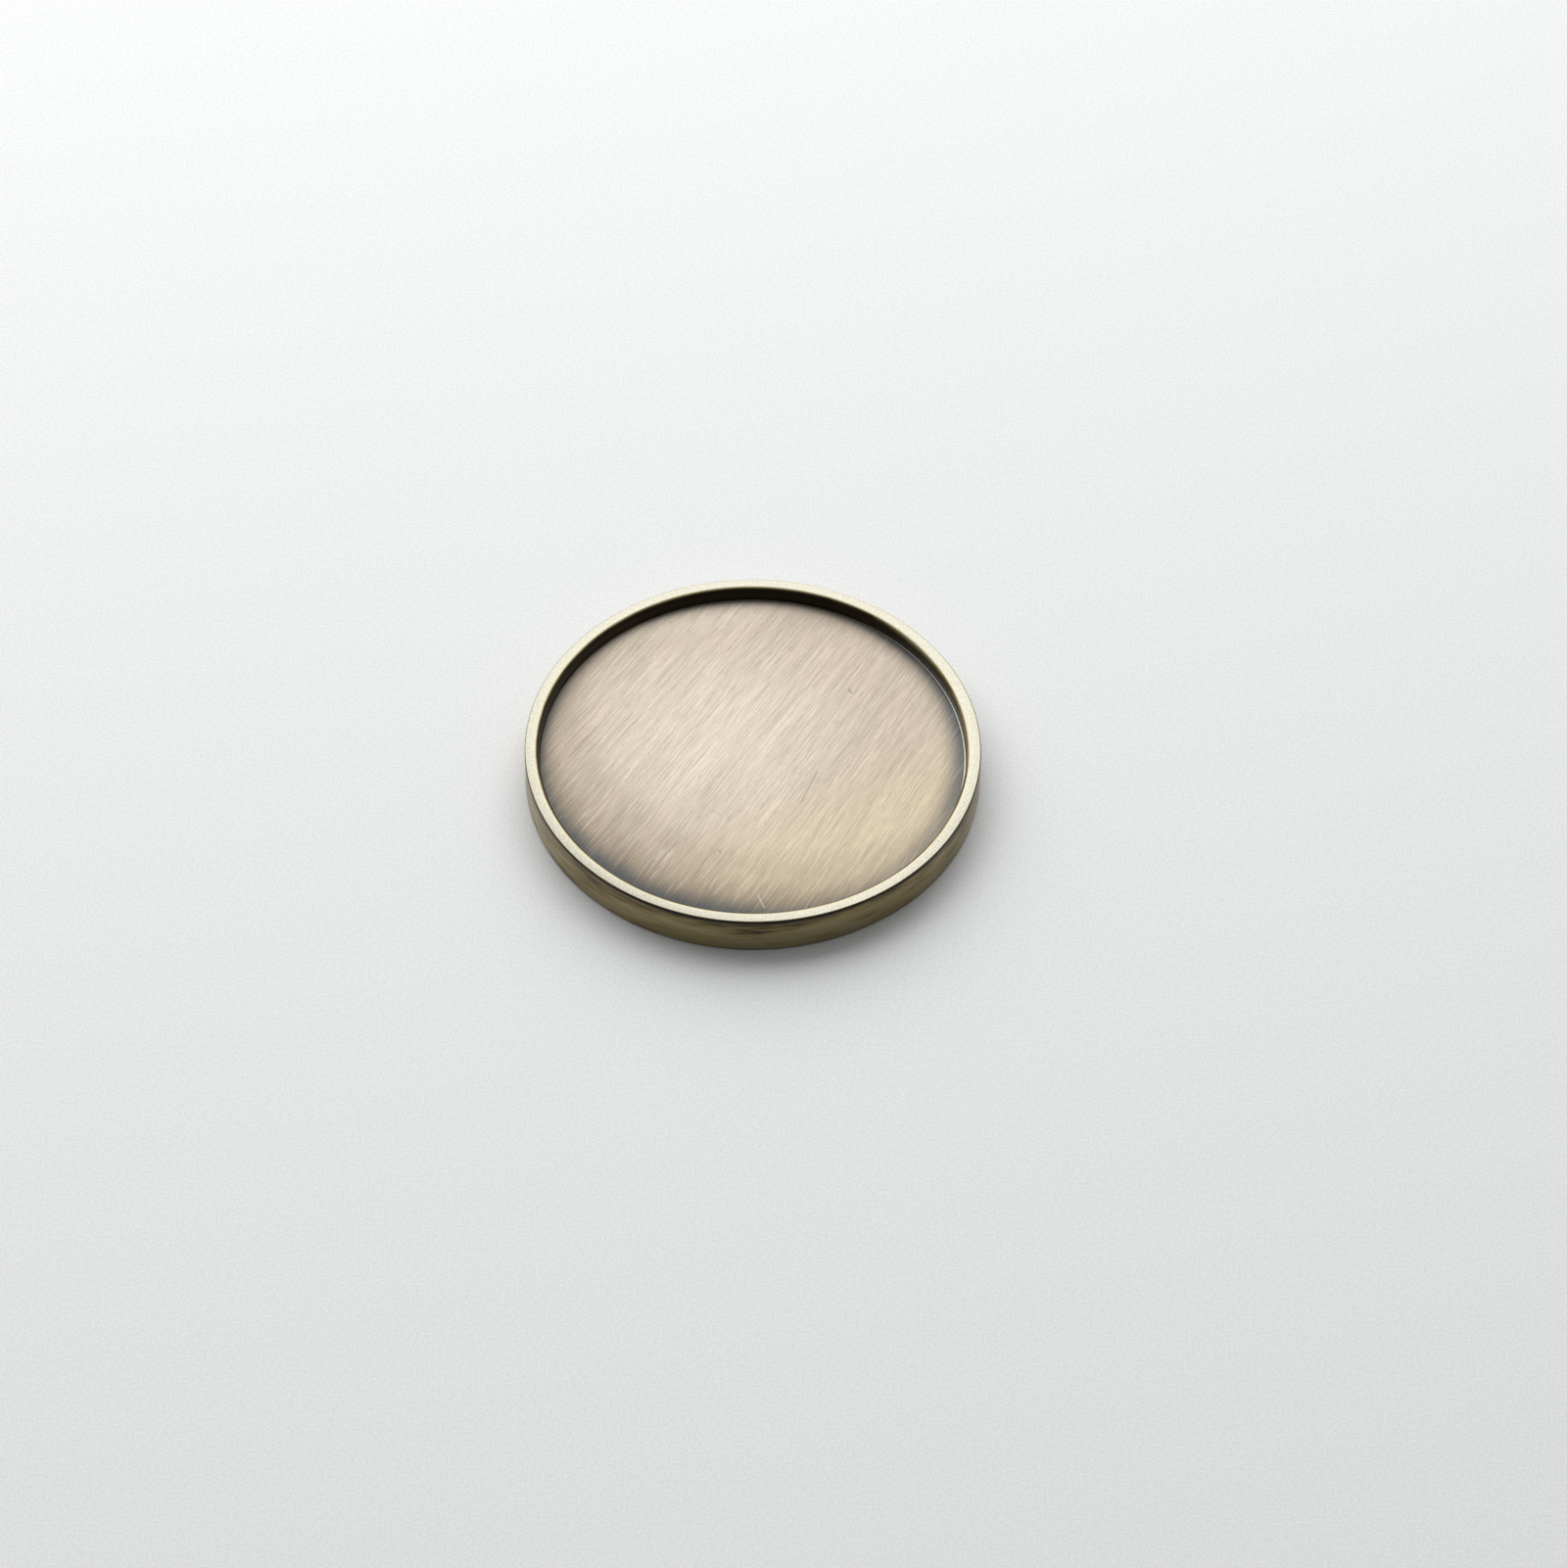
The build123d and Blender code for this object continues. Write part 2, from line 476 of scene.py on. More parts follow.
glue_mesh = turned_mesh("magnet_glue_ring", glue_profile, MAGNET_TURNS)
glue = place("magnet_glue_ring", glue_mesh, "magnet_glue")

# %% [markdown]
# ## Small helpers for node trees
#
# A material is a list of operations, and in Python it reads best when each line is one of them.
# put() adds a node and fills its sockets with numbers or with other nodes' outputs. The others do
# the same for one kind of node each, and hand back its result.

# %% Node helpers
def put(tree, kind, inputs=None, **settings):
    """Add a node, set its properties, and fill or link its inputs by name or number."""
    node = tree.nodes.new(kind)
    for name, value in settings.items():
        setattr(node, name, value)
    for socket, value in (inputs or {}).items():
        if isinstance(value, bpy.types.NodeSocket):
            tree.links.new(value, node.inputs[socket])
        else:
            node.inputs[socket].default_value = value
    return node


def calc(tree, operation, *values, clamp=False):
    """A Math node's result from up to three numbers or sockets."""
    node = put(tree, "ShaderNodeMath", dict(enumerate(values)), operation=operation, use_clamp=clamp)
    return node.outputs[0]


def remap(tree, value, low, high, to_low=0.0, to_high=1.0, smooth=True):
    """Stretch a value from one range to another, with soft ends unless smooth is False."""
    kind = "SMOOTHSTEP" if smooth else "LINEAR"
    ranges = {0: value, 1: low, 2: high, 3: to_low, 4: to_high}
    return put(tree, "ShaderNodeMapRange", ranges, interpolation_type=kind).outputs[0]


def blend(tree, share, first, second, mode="MIX"):
    """Mix two colours by a share."""
    colours = {0: share, 6: first, 7: second}
    return put(tree, "ShaderNodeMix", colours, data_type="RGBA", blend_type=mode).outputs[2]


def toned(tree, colour, tone):
    """A colour multiplied by a number: under 1 darkens it, over 1 lightens it."""
    grey = put(tree, "ShaderNodeCombineColor", {0: tone, 1: tone, 2: tone}).outputs[0]
    return blend(tree, 1.0, colour, grey, "MULTIPLY")


def squeezed_noise(tree, steps, detail):
    """Noise at a place counted in three numbers of steps, so each can be squeezed on its own."""
    place_in = put(tree, "ShaderNodeCombineXYZ", dict(enumerate(steps))).outputs[0]
    settings = {"Vector": place_in, "Scale": 1.0, "Detail": detail, "Roughness": 0.6}
    return put(tree, "ShaderNodeTexNoise", settings).outputs[0]


# %% Groups and materials
NUMBER, VECTOR, COLOUR = "NodeSocketFloat", "NodeSocketVector", "NodeSocketColor"


def new_group(name, inputs, outputs):
    """An empty shader node group. inputs lists (name, socket kind, default), outputs (name, kind)."""
    group = bpy.data.node_groups.new(name, "ShaderNodeTree")
    for label, kind, default in inputs:
        socket = group.interface.new_socket(name=label, in_out="INPUT", socket_type=kind)
        if default is not None:
            socket.default_value = default
    for label, kind in outputs:
        group.interface.new_socket(name=label, in_out="OUTPUT", socket_type=kind)
    return group, group.nodes.new("NodeGroupInput").outputs, group.nodes.new("NodeGroupOutput")


def use_group(tree, group, inputs):
    """Place a node group in a material with its own values, and hand back its outputs."""
    return put(tree, "ShaderNodeGroup", inputs, node_tree=group).outputs


def new_material(name):
    """An empty node material with its surface shader, and the object coordinates to feed it."""
    material = bpy.data.materials.new(name)
    material.use_nodes = True
    tree = material.node_tree
    tree.nodes.clear()
    shader = tree.nodes.new("ShaderNodeBsdfPrincipled")
    output = tree.nodes.new("ShaderNodeOutputMaterial")
    tree.links.new(shader.outputs[0], output.inputs["Surface"])
    place_in = tree.nodes.new("ShaderNodeTexCoord").outputs["Object"]
    return material, tree, shader, place_in


def finish_piece(mesh, material, tree, shader, colour, roughness, height=None, strength=0.3):
    """Feed a shader its colour, roughness and bump, and give its material to a mesh."""
    tree.links.new(colour, shader.inputs["Base Color"])
    tree.links.new(roughness, shader.inputs["Roughness"])
    if height is not None:
        bump = put(tree, "ShaderNodeBump", {"Height": height, "Strength": strength, "Distance": 0.01 * MM})
        tree.links.new(bump.outputs[0], shader.inputs["Normal"])
    mesh.materials.append(material)
    print(f"{material.name}: {len(tree.nodes)} nodes")


# %% [markdown]
# ## Straight brushing
#
# Brushed metal is thousands of fine grooves that all run one way. A noise texture squeezed across
# the grain and stretched along it gives them. One layer alone looks like wood, so more are used:
# long and short hairs with a little dust, broad soft bands, and single scratches where the noise
# peaks. The strokes of a hand-held belt aren't quite parallel either, so the layers lean a little
# against each other and the whole pattern converges slowly to a far point.

# %% Group: straight brushing
brushing, given, result = new_group(
    "straight_brushing",
    [("Vector", VECTOR, None), ("Turn", NUMBER, 0.0), ("Converge", NUMBER, 0.2),
     ("Stroke Width", NUMBER, 0.0001), ("Stroke Length", NUMBER, 0.002), ("Seed", NUMBER, 0.0)],
    [("Hairs", NUMBER), ("Bands", NUMBER), ("Light Scratch", NUMBER), ("Dark Scratch", NUMBER)],
)
turn_back = calc(brushing, "MULTIPLY", given["Turn"], -1.0)
turned_in = put(brushing, "ShaderNodeVectorRotate", {"Vector": given["Vector"], "Angle": turn_back},
                rotation_type="Z_AXIS")
along, across, _ = put(brushing, "ShaderNodeSeparateXYZ", {0: turned_in.outputs[0]}).outputs
narrowing = calc(brushing, "SUBTRACT", 1.0, calc(brushing, "DIVIDE", along, given["Converge"]))
across = calc(brushing, "DIVIDE", across, narrowing)
print("straight_brushing: turned and narrowed in", len(brushing.nodes), "nodes")


# %% Straight brushing: layers of strokes
def stroke_noise(width_factor, length_factor, seed_shift, detail, slant=0.0, length_from="Stroke Length"):
    """Noise stretched into strokes, in units of the group's stroke width and length.

    slant leans the strokes: the place across the grain grows by slant for each step along it.
    """
    width = calc(brushing, "MULTIPLY", given["Stroke Width"], width_factor)
    length = calc(brushing, "MULTIPLY", given[length_from], length_factor)
    leaning = calc(brushing, "MULTIPLY_ADD", along, slant, across)
    steps = (calc(brushing, "DIVIDE", along, length), calc(brushing, "DIVIDE", leaning, width),
             calc(brushing, "ADD", given["Seed"], seed_shift))
    return squeezed_noise(brushing, steps, detail)


# Each layer is (width factor, length factor, seed shift, detail, slant).
LONG_SHARE, SHORT_SHARE, DUST_SHARE = 0.42, 0.18, 0.40
LIGHT_PEAKS, DARK_PEAKS = (0.63, 0.73), (0.63, 0.76)    # how high the noise is where a scratch shows
long_hairs = stroke_noise(1.0, 1.0, 0.0, 1.0, 0.003)
short_hairs = stroke_noise(0.9, 0.25, 5.7, 0.0, -0.003)
dust = stroke_noise(1.4, 2.4, 51.9, 1.0, length_from="Stroke Width")
hairs = calc(brushing, "MULTIPLY", long_hairs, LONG_SHARE)
hairs = calc(brushing, "MULTIPLY_ADD", short_hairs, SHORT_SHARE, hairs)
hairs = calc(brushing, "MULTIPLY_ADD", dust, DUST_SHARE, hairs)
bands = stroke_noise(40.0, 5.0, 11.3, 2.0)
light = remap(brushing, stroke_noise(1.8, 0.35, 23.7, 0.0, 0.004), *LIGHT_PEAKS)
dark = remap(brushing, stroke_noise(1.8, 0.15, 37.1, 0.0, -0.004), *DARK_PEAKS)
for output, value in zip(result.inputs, (hairs, bands, light, dark)):
    brushing.links.new(value, output)
print("straight_brushing:", len(brushing.nodes), "nodes")

# %% [markdown]
# ## Turning marks
#
# A lathe tool or a strip of emery held against spinning work leaves marks that run round the
# part. Walls change height and flats change radius, so height minus radius changes steadily
# along the whole profile. Noise that is fine in that one direction and coarse in the plan gives
# marks that run round every face without any unwrapping.

# %% Group: turning marks
turning, given, result = new_group(
    "turning_marks",
    [("Vector", VECTOR, None), ("Mark Width", NUMBER, 0.00005), ("Mark Length", NUMBER, 0.003),
     ("Seed", NUMBER, 0.0)],
    [("Marks", NUMBER), ("Patches", NUMBER)],
)
x, y, z = put(turning, "ShaderNodeSeparateXYZ", {0: given["Vector"]}).outputs
plan = put(turning, "ShaderNodeCombineXYZ", {0: x, 1: y}).outputs[0]
from_axis = put(turning, "ShaderNodeVectorMath", {0: plan}, operation="LENGTH").outputs["Value"]
station = calc(turning, "SUBTRACT", z, from_axis)


def mark_noise(width_factor, length_factor, seed_shift):
    """Noise that is fine along the profile and long around the axis."""
    width = calc(turning, "MULTIPLY", given["Mark Width"], width_factor)
    length = calc(turning, "MULTIPLY", given["Mark Length"], length_factor)
    seed = calc(turning, "ADD", given["Seed"], seed_shift)
    steps = (calc(turning, "DIVIDE", x, length), calc(turning, "DIVIDE", y, length),
             calc(turning, "ADD", calc(turning, "DIVIDE", station, width), seed))
    return squeezed_noise(turning, steps, 2.0)


turning.links.new(mark_noise(1.0, 1.0, 0.0), result.inputs["Marks"])
turning.links.new(mark_noise(10.0, 1.4, 7.9), result.inputs["Patches"])
print("turning_marks:", len(turning.nodes), "nodes")

# %% [markdown]
# ## Antique brass
#
# Antique brass is bright brass dipped in a bath that turns it nearly black, then rubbed back and
# lacquered. What shows is one scale of colours: black where nothing touched it, olive brown where
# it was rubbed a little, and pale gold where it was rubbed through. One group holds that scale,
# so each material only has to say how far it was rubbed. A rubbed surface is smoother too.

# %% Group: the antique scale
ANTIQUE_SCALE = [
    (0.00, (0.010, 0.008, 0.006)),
    (0.15, (0.080, 0.062, 0.032)),
    (0.35, (0.255, 0.195, 0.076)),
    (0.60, (0.385, 0.312, 0.152)),
    (1.00, (0.358, 0.341, 0.272)),
]
ROUGH_PATINA, ROUGH_BARE = 0.54, 0.27
antique, given, result = new_group(
    "antique_scale", [("Rub", NUMBER, 0.5)], [("Colour", COLOUR), ("Roughness", NUMBER)]
)
scale = put(antique, "ShaderNodeValToRGB", {0: given["Rub"]})
ramp = scale.color_ramp
while len(ramp.elements) < len(ANTIQUE_SCALE):
    ramp.elements.new(0.5)
for element, (position, colour) in zip(ramp.elements, ANTIQUE_SCALE):
    element.position = position
    element.color = (*colour, 1.0)
roughness = remap(antique, given["Rub"], 0.0, 1.0, ROUGH_PATINA, ROUGH_BARE, smooth=False)
antique.links.new(scale.outputs[0], result.inputs["Colour"])
antique.links.new(roughness, result.inputs["Roughness"])
print("antique_scale:", len(ANTIQUE_SCALE), "steps from black to gold")

# %% [markdown]
# ## Finish of the cup
#
# The cup reads its rub value from the mesh, adds the turning marks and some slow patches, and
# looks the colour up on the antique scale. The cloth that rubbed the side stopped short of the
# corner above it, so a thin uneven strip of full patina is left there. The stations on the side
# are too far apart to hold a strip that thin, so it is worked out from the height instead.

# %% Cup: how far the side is rubbed
GRAIN_CONVERGE = 0.19           # how far off the strokes of the belt would meet, in metres
SIDE_MARKS, SIDE_PATCHES = 0.95, 0.95
STRIP_START, STRIP_FULL = RIM_TOP - 0.26 * MM, RIM_TOP - 0.14 * MM
STRIP_SWAY = 0.15 * MM          # how far the slow patches push the strip up and down
STRIP_SHARE = 0.85              # how much of the rubbing the strip takes back
SIDE_START, SIDE_FULL = RIM_RADIUS - 0.05 * MM, RIM_RADIUS - 0.02 * MM
BARE_RUB = (0.6, 0.95)          # where marks on the side give way to the rim's strokes
MARKED_RUB = (0.05, 0.30)       # where full patina gives way to marks
cup_finish, tree, shader, place_in = new_material("antique_brass_cup")
# The rub value from the mesh also carries the painted reflection on the wall below the lip.
rub = put(tree, "ShaderNodeAttribute", attribute_name="rub").outputs["Fac"]
marks = use_group(tree, turning, {
    "Vector": place_in, "Mark Width": 0.075 * MM, "Mark Length": 2.4 * MM, "Seed": 3.0,
})
mark_shift = calc(tree, "SUBTRACT", marks["Marks"], 0.5)
patch_shift = calc(tree, "SUBTRACT", marks["Patches"], 0.5)
bright = remap(tree, rub, *BARE_RUB)
unrubbed = calc(tree, "SUBTRACT", 1.0, bright)
side_change = calc(tree, "MULTIPLY", patch_shift, SIDE_PATCHES)
side_change = calc(tree, "MULTIPLY_ADD", mark_shift, SIDE_MARKS, side_change)
open_to_marks = calc(tree, "MULTIPLY", unrubbed, remap(tree, rub, *MARKED_RUB))
side_change = calc(tree, "MULTIPLY", side_change, open_to_marks)
side_rub = calc(tree, "ADD", rub, side_change, clamp=True)
x, y, z = put(tree, "ShaderNodeSeparateXYZ", {0: place_in}).outputs
from_axis = calc(tree, "SQRT", calc(tree, "MULTIPLY_ADD", x, x, calc(tree, "MULTIPLY", y, y)))
strip = remap(tree, calc(tree, "MULTIPLY_ADD", patch_shift, STRIP_SWAY, z), STRIP_START, STRIP_FULL)
on_side = remap(tree, from_axis, SIDE_START, SIDE_FULL)
strip = calc(tree, "MULTIPLY", strip, on_side)
side_rub = calc(tree, "MULTIPLY", side_rub, calc(tree, "MULTIPLY_ADD", strip, -STRIP_SHARE, 1.0))
print(f"the dark strip starts {(RIM_TOP - STRIP_START) / MM:.2f} mm below the rim's top")

# %% [markdown]
# The rim's flat was rubbed on the same belt as the face, so it carries fine straight scratches as well,
# and the dullness value darkens it a little: painted shade, with some duller tone. Lacquer lies over all
# of it: a thin coat, which shows as a soft pale sheen where the side is seen at a slant.

# %% Cup: colour, gloss and marks
DULL_SHADE_SHARE, STROKE_SHARE = 0.42, 1.2
# Painted shade: the dullness value darkens the middle of the rim's flat and its duller sides.
dull_and_shade = put(tree, "ShaderNodeAttribute", attribute_name="dull_and_shade").outputs["Fac"]
strokes = use_group(tree, brushing, {
    "Vector": place_in, "Turn": GRAIN_TURN, "Converge": GRAIN_CONVERGE,
    "Stroke Width": 0.045 * MM, "Stroke Length": 0.30 * MM, "Seed": 5.0,
})
scale_out = use_group(tree, antique, {"Rub": side_rub})
stroke_shift = calc(tree, "MULTIPLY", calc(tree, "SUBTRACT", strokes["Hairs"], 0.5), bright)
tone = calc(tree, "MULTIPLY_ADD", dull_and_shade, -DULL_SHADE_SHARE, 1.0)
tone = calc(tree, "MULTIPLY_ADD", stroke_shift, STROKE_SHARE, tone)
height = calc(tree, "MULTIPLY", strokes["Hairs"], bright)
height = calc(tree, "ADD", calc(tree, "MULTIPLY", marks["Marks"], unrubbed), height)
shader.inputs["Metallic"].default_value = 1.0
shader.inputs["Coat Weight"].default_value = 0.3
shader.inputs["Coat Roughness"].default_value = 0.22
cup_colour = toned(tree, scale_out["Colour"], tone)
finish_piece(rim_cup.data, cup_finish, tree, shader, cup_colour, scale_out["Roughness"], height)

# %% [markdown]
# ## Finish of the face
#
# The face was blackened like the cup and brushed back, and keeps some of that patina at its edge. Much of
# its light and dark is painted light and shade, though: a painted highlight makes the middle lighter,
# painted shade darkens the edge and a crescent at the front left, and painted light brightens the face by
# the back wall. Every zone of it is a circle or a straight side: a flat belt that rocks on a disc leaves
# circles whose centres are pushed off the disc's own, and the painted light and shade take the same
# shapes. So a zone is a distance from a centre, or a distance towards one side, run through a soft step.
# The hairs and bands of the brushing shift the distances, which frays every zone's border along the grain.

# %% Face: the brushing, and distances from centres and towards sides
HAIR_WIDTH, HAIR_LENGTH = 0.020 * MM, 5.5 * MM
face_finish, tree, shader, place_in = new_material("brushed_face_brass")
strokes = use_group(tree, brushing, {
    "Vector": place_in, "Turn": GRAIN_TURN, "Converge": GRAIN_CONVERGE,
    "Stroke Width": HAIR_WIDTH, "Stroke Length": HAIR_LENGTH, "Seed": 1.0,
})
hair_shift = calc(tree, "SUBTRACT", strokes["Hairs"], 0.5)
band_shift = calc(tree, "SUBTRACT", strokes["Bands"], 0.5)
flatten = {0: place_in, 1: (1.0, 1.0, 0.0)}
flat_place = put(tree, "ShaderNodeVectorMath", flatten, operation="MULTIPLY").outputs[0]


def reach_from(centre, hair_share, band_share):
    """Distance from a centre in the plane of the face, shifted by the hairs and bands."""
    between = {0: flat_place, 1: centre}
    reach = put(tree, "ShaderNodeVectorMath", between, operation="DISTANCE").outputs["Value"]
    reach = calc(tree, "MULTIPLY_ADD", hair_shift, hair_share, reach)
    return calc(tree, "MULTIPLY_ADD", band_shift, band_share, reach)


def reach_towards(side):
    """Distance from the axis towards one side: the dot product with that side's direction."""
    along_side = {0: flat_place, 1: side}
    return put(tree, "ShaderNodeVectorMath", along_side, operation="DOT_PRODUCT").outputs["Value"]


print(f"hairs on the face: {HAIR_WIDTH / MM:.3f} mm by {HAIR_LENGTH / MM:.1f} mm")

# %% Face: painted highlight, warm and golden brass, and painted light by the back wall
# A zone is the start and end of a soft step, and sometimes the values that it has there.
HIGHLIGHT_CENTRE = (-1.8 * MM, 1.4 * MM, 0.0)      # centre of the painted highlight, where the face is lightest
CLEAN_SIDE = (0.50, -0.87, 0.0)                 # the most golden side, with the weakest shadow
BACK_SIDE = (-0.26, 0.97, 0.0)                  # towards the back wall; by it the face is painted lighter
WARM_ZONE = (0.0, 10.0 * MM)
GOLD_ZONE = (2.0 * MM, 9.0 * MM)
BACK_LIGHT_ZONE = (9.0 * MM, 11.6 * MM)
FACE_HIGHLIT = (0.508, 0.452, 0.374, 1.0)
FACE_WARM = (0.430, 0.369, 0.299, 1.0)
FACE_GOLD = (0.480, 0.405, 0.298, 1.0)
FACE_BACK_LIGHT = (0.560, 0.492, 0.406, 1.0)
towards_clean = reach_towards(CLEAN_SIDE)
towards_back = reach_towards(BACK_SIDE)
# Painted highlight: the face is lightest round its centre and darker and warmer outwards, partly the
# brass's own warmer tone.
warmth_and_falloff = remap(tree, reach_from(HIGHLIGHT_CENTRE, 0.0, 2.0 * MM), *WARM_ZONE)
colour = blend(tree, warmth_and_falloff, FACE_HIGHLIT, FACE_WARM)
colour = blend(tree, remap(tree, towards_clean, *GOLD_ZONE), colour, FACE_GOLD)
# Painted light: the face is lightened by the back wall, against the shade that the wall casts there.
colour = blend(tree, remap(tree, towards_back, *BACK_LIGHT_ZONE), colour, FACE_BACK_LIGHT)
print("nodes up to the face's own brass:", len(tree.nodes))

# %% [markdown]
# The dark edge has three parts, each partly patina and partly painted shade. A thin brown edge runs all
# round, with a bluer line in the very corner, where shade falls at the foot of the wall. Both are left out
# at the back, where the wall's own shade already darkens the face, and fade at the golden side. The third
# part is a wide crescent at the front left, brown where it begins and blue-grey at the wall: painted shade
# where the brushed highlight falls off along the grain, over patina that is still whole at the wall.

# %% Face: patina and painted shade at the edge
EDGE_CENTRE = (-0.22 * MM, 0.24 * MM, 0.0)      # centre of the thin shadow all round
CRESCENT_CENTRE = (2.15 * MM, 4.5 * MM, 0.0)    # centre of the circles that leave the wide shadow
EDGE_ZONE = (10.2 * MM, 11.6 * MM, 0.0, 0.55)
CORNER_ZONE = (10.9 * MM, 11.7 * MM, 0.0, 0.60)
BROWN_START = (10.6 * MM, 12.8 * MM, 0.0, 0.27)
BROWN_END = (13.0 * MM, 15.1 * MM, 0.0, 0.45)
CRESCENT_ZONE = (14.5 * MM, 16.5 * MM)
BACK_KEPT = (6.0 * MM, 10.4 * MM, 1.0, 0.10)    # how much of the thin shadow is kept
CLEAN_KEPT = (7.0 * MM, 11.5 * MM, 1.0, 0.40)
FACE_BROWN = (0.203, 0.162, 0.114, 1.0)
FACE_SHADOW = (0.072, 0.076, 0.080, 1.0)
EDGE_BROWN = (0.122, 0.110, 0.086, 1.0)
EDGE_SHADOW = (0.085, 0.102, 0.125, 1.0)
edge_reach = reach_from(EDGE_CENTRE, 0.8 * MM, 0.5 * MM)
crescent_reach = reach_from(CRESCENT_CENTRE, 0.7 * MM, 1.0 * MM)
kept = remap(tree, towards_clean, *CLEAN_KEPT)
kept = calc(tree, "MULTIPLY", remap(tree, towards_back, *BACK_KEPT), kept)
edge = calc(tree, "MULTIPLY", remap(tree, edge_reach, *EDGE_ZONE), kept)
corner = calc(tree, "MULTIPLY", remap(tree, edge_reach, *CORNER_ZONE), kept)
brown = remap(tree, crescent_reach, *BROWN_END)
brown = calc(tree, "ADD", remap(tree, crescent_reach, *BROWN_START), brown)
crescent = remap(tree, crescent_reach, *CRESCENT_ZONE)
# Painted shade over patina: the brown crescent, the thin brown edge, the blue line in the corner and the
# blue-grey crescent.
colour = blend(tree, brown, colour, FACE_BROWN)
colour = blend(tree, edge, colour, EDGE_BROWN)
colour = blend(tree, corner, colour, EDGE_SHADOW)
colour = blend(tree, crescent, colour, FACE_SHADOW)
print("nodes up to the shadow:", len(tree.nodes))

# %% [markdown]
# At the right a painted highlight runs as a hairline along the disc's edge, where the edge catches the
# softbox. Over all of it lie the strokes: each hair lightens or darkens the brass a little, and the few
# deeper scratches are pale where the light catches them and brown where they hold dirt.

# %% Face: painted highlight on the edge, hairs and scratches
GLINT_SIDE = (0.94, 0.34, 0.0)               # the side where the painted highlight on the disc's edge shows
GLINT_SIDE_ZONE = (7.5 * MM, 11.0 * MM)
GLINT_ZONE = (BRUSHED_RADIUS - 0.09 * MM, BRUSHED_RADIUS - 0.04 * MM)
GLINT_COLOUR = (0.930, 0.890, 0.810, 1.0)
SCRATCH_LIGHT = (0.72, 0.66, 0.55, 1.0)
SCRATCH_DARK = (0.17, 0.14, 0.11, 1.0)
HAIR_SHARE, BAND_SHARE = 3.2, 0.30
LIGHT_SHARE, DARK_SHARE = 0.32, 0.30
# Painted highlight: a bright hairline along the disc's edge on the right.
glint = remap(tree, reach_from((0.0, 0.0, 0.0), 0.0, 0.0), *GLINT_ZONE)
glint = calc(tree, "MULTIPLY", glint, remap(tree, reach_towards(GLINT_SIDE), *GLINT_SIDE_ZONE))
colour = blend(tree, glint, colour, GLINT_COLOUR)
tone = calc(tree, "MULTIPLY_ADD", hair_shift, HAIR_SHARE, 1.0)
tone = calc(tree, "MULTIPLY_ADD", band_shift, BAND_SHARE, tone)
colour = toned(tree, colour, tone)
lit = calc(tree, "SUBTRACT", 1.0, calc(tree, "MAXIMUM", edge, crescent))
light_share = calc(tree, "MULTIPLY", strokes["Light Scratch"], calc(tree, "MULTIPLY", lit, LIGHT_SHARE))
colour = blend(tree, light_share, colour, SCRATCH_LIGHT)
dark_share = calc(tree, "MULTIPLY", strokes["Dark Scratch"], DARK_SHARE)
colour = blend(tree, dark_share, colour, SCRATCH_DARK)
print(f"glint from {GLINT_ZONE[0] / MM:.2f} mm out")

# %% [markdown]
# The face has been used, so it also has a few marks that aren't part of the brushing. Each is a
# short line: the distance from it is worked out in its own turned axes, and a narrow soft step of
# that distance is the mask.

# %% Face: single marks
# Each mark is (x, y, length, width in millimetres, angle in degrees, colour).
FACE_MARKS = [
    (5.32, 4.85, 0.30, 0.10, 118, (0.07, 0.06, 0.05, 1.0)),
    (5.43, 4.62, 0.10, 0.09, 20, (0.50, 0.46, 0.38, 1.0)),
    (-1.70, -6.86, 0.05, 0.09, 0, (0.06, 0.05, 0.04, 1.0)),
    (0.56, -10.34, 0.95, 0.06, 112, (0.55, 0.52, 0.46, 1.0)),
    (-6.20, 3.90, 1.60, 0.05, 57, (0.58, 0.54, 0.46, 1.0)),
    (3.10, -2.20, 2.40, 0.05, 69, (0.13, 0.11, 0.09, 1.0)),
]
MARK_DEPTH = 0.5                # how far a mark hides the brass at its middle


def mark_on_face(x, y, length, width, degrees):
    """The mask of a short soft line: the distance from it, fading to nothing at its width."""
    from_mark = {0: flat_place, 1: (x * MM, y * MM, 0.0)}
    local = put(tree, "ShaderNodeVectorMath", from_mark, operation="SUBTRACT").outputs[0]
    turned = {"Vector": local, "Angle": -np.radians(degrees)}
    local = put(tree, "ShaderNodeVectorRotate", turned, rotation_type="Z_AXIS").outputs[0]
    along, across, _ = put(tree, "ShaderNodeSeparateXYZ", {0: local}).outputs
    past_end = calc(tree, "SUBTRACT", calc(tree, "ABSOLUTE", along), length * MM / 2)
    past_end = calc(tree, "MAXIMUM", past_end, 0.0)
    across2 = calc(tree, "POWER", across, 2.0)
    distance = calc(tree, "SQRT", calc(tree, "MULTIPLY_ADD", past_end, past_end, across2))
    return remap(tree, distance, 0.0, width * MM, MARK_DEPTH, 0.0)


for *where, mark_colour in FACE_MARKS:
    colour = blend(tree, mark_on_face(*where), colour, mark_colour)
print("marks on the face:", len(FACE_MARKS))

# %% Face: gloss and grain
shader.inputs["Metallic"].default_value = 1.0
shader.inputs["Anisotropic"].default_value = 0.35
tangent = put(tree, "ShaderNodeTangent", direction_type="UV_MAP", uv_map="across_grain")
tree.links.new(tangent.outputs[0], shader.inputs["Tangent"])
roughness = remap(tree, strokes["Hairs"], 0.3, 0.7, 0.54, 0.64, smooth=False)
finish_piece(face_disc.data, face_finish, tree, shader, colour, roughness, strokes["Hairs"])

# %% [markdown]
# ## Magnet, glue and film
#
# Nickel is brighter and cooler than brass, with fine wear on its flat. The epoxy is a clear amber
# with slow clouds in it. The film under the face is never seen, but it gets its own surface: a
# pale tape with the print of its release paper.

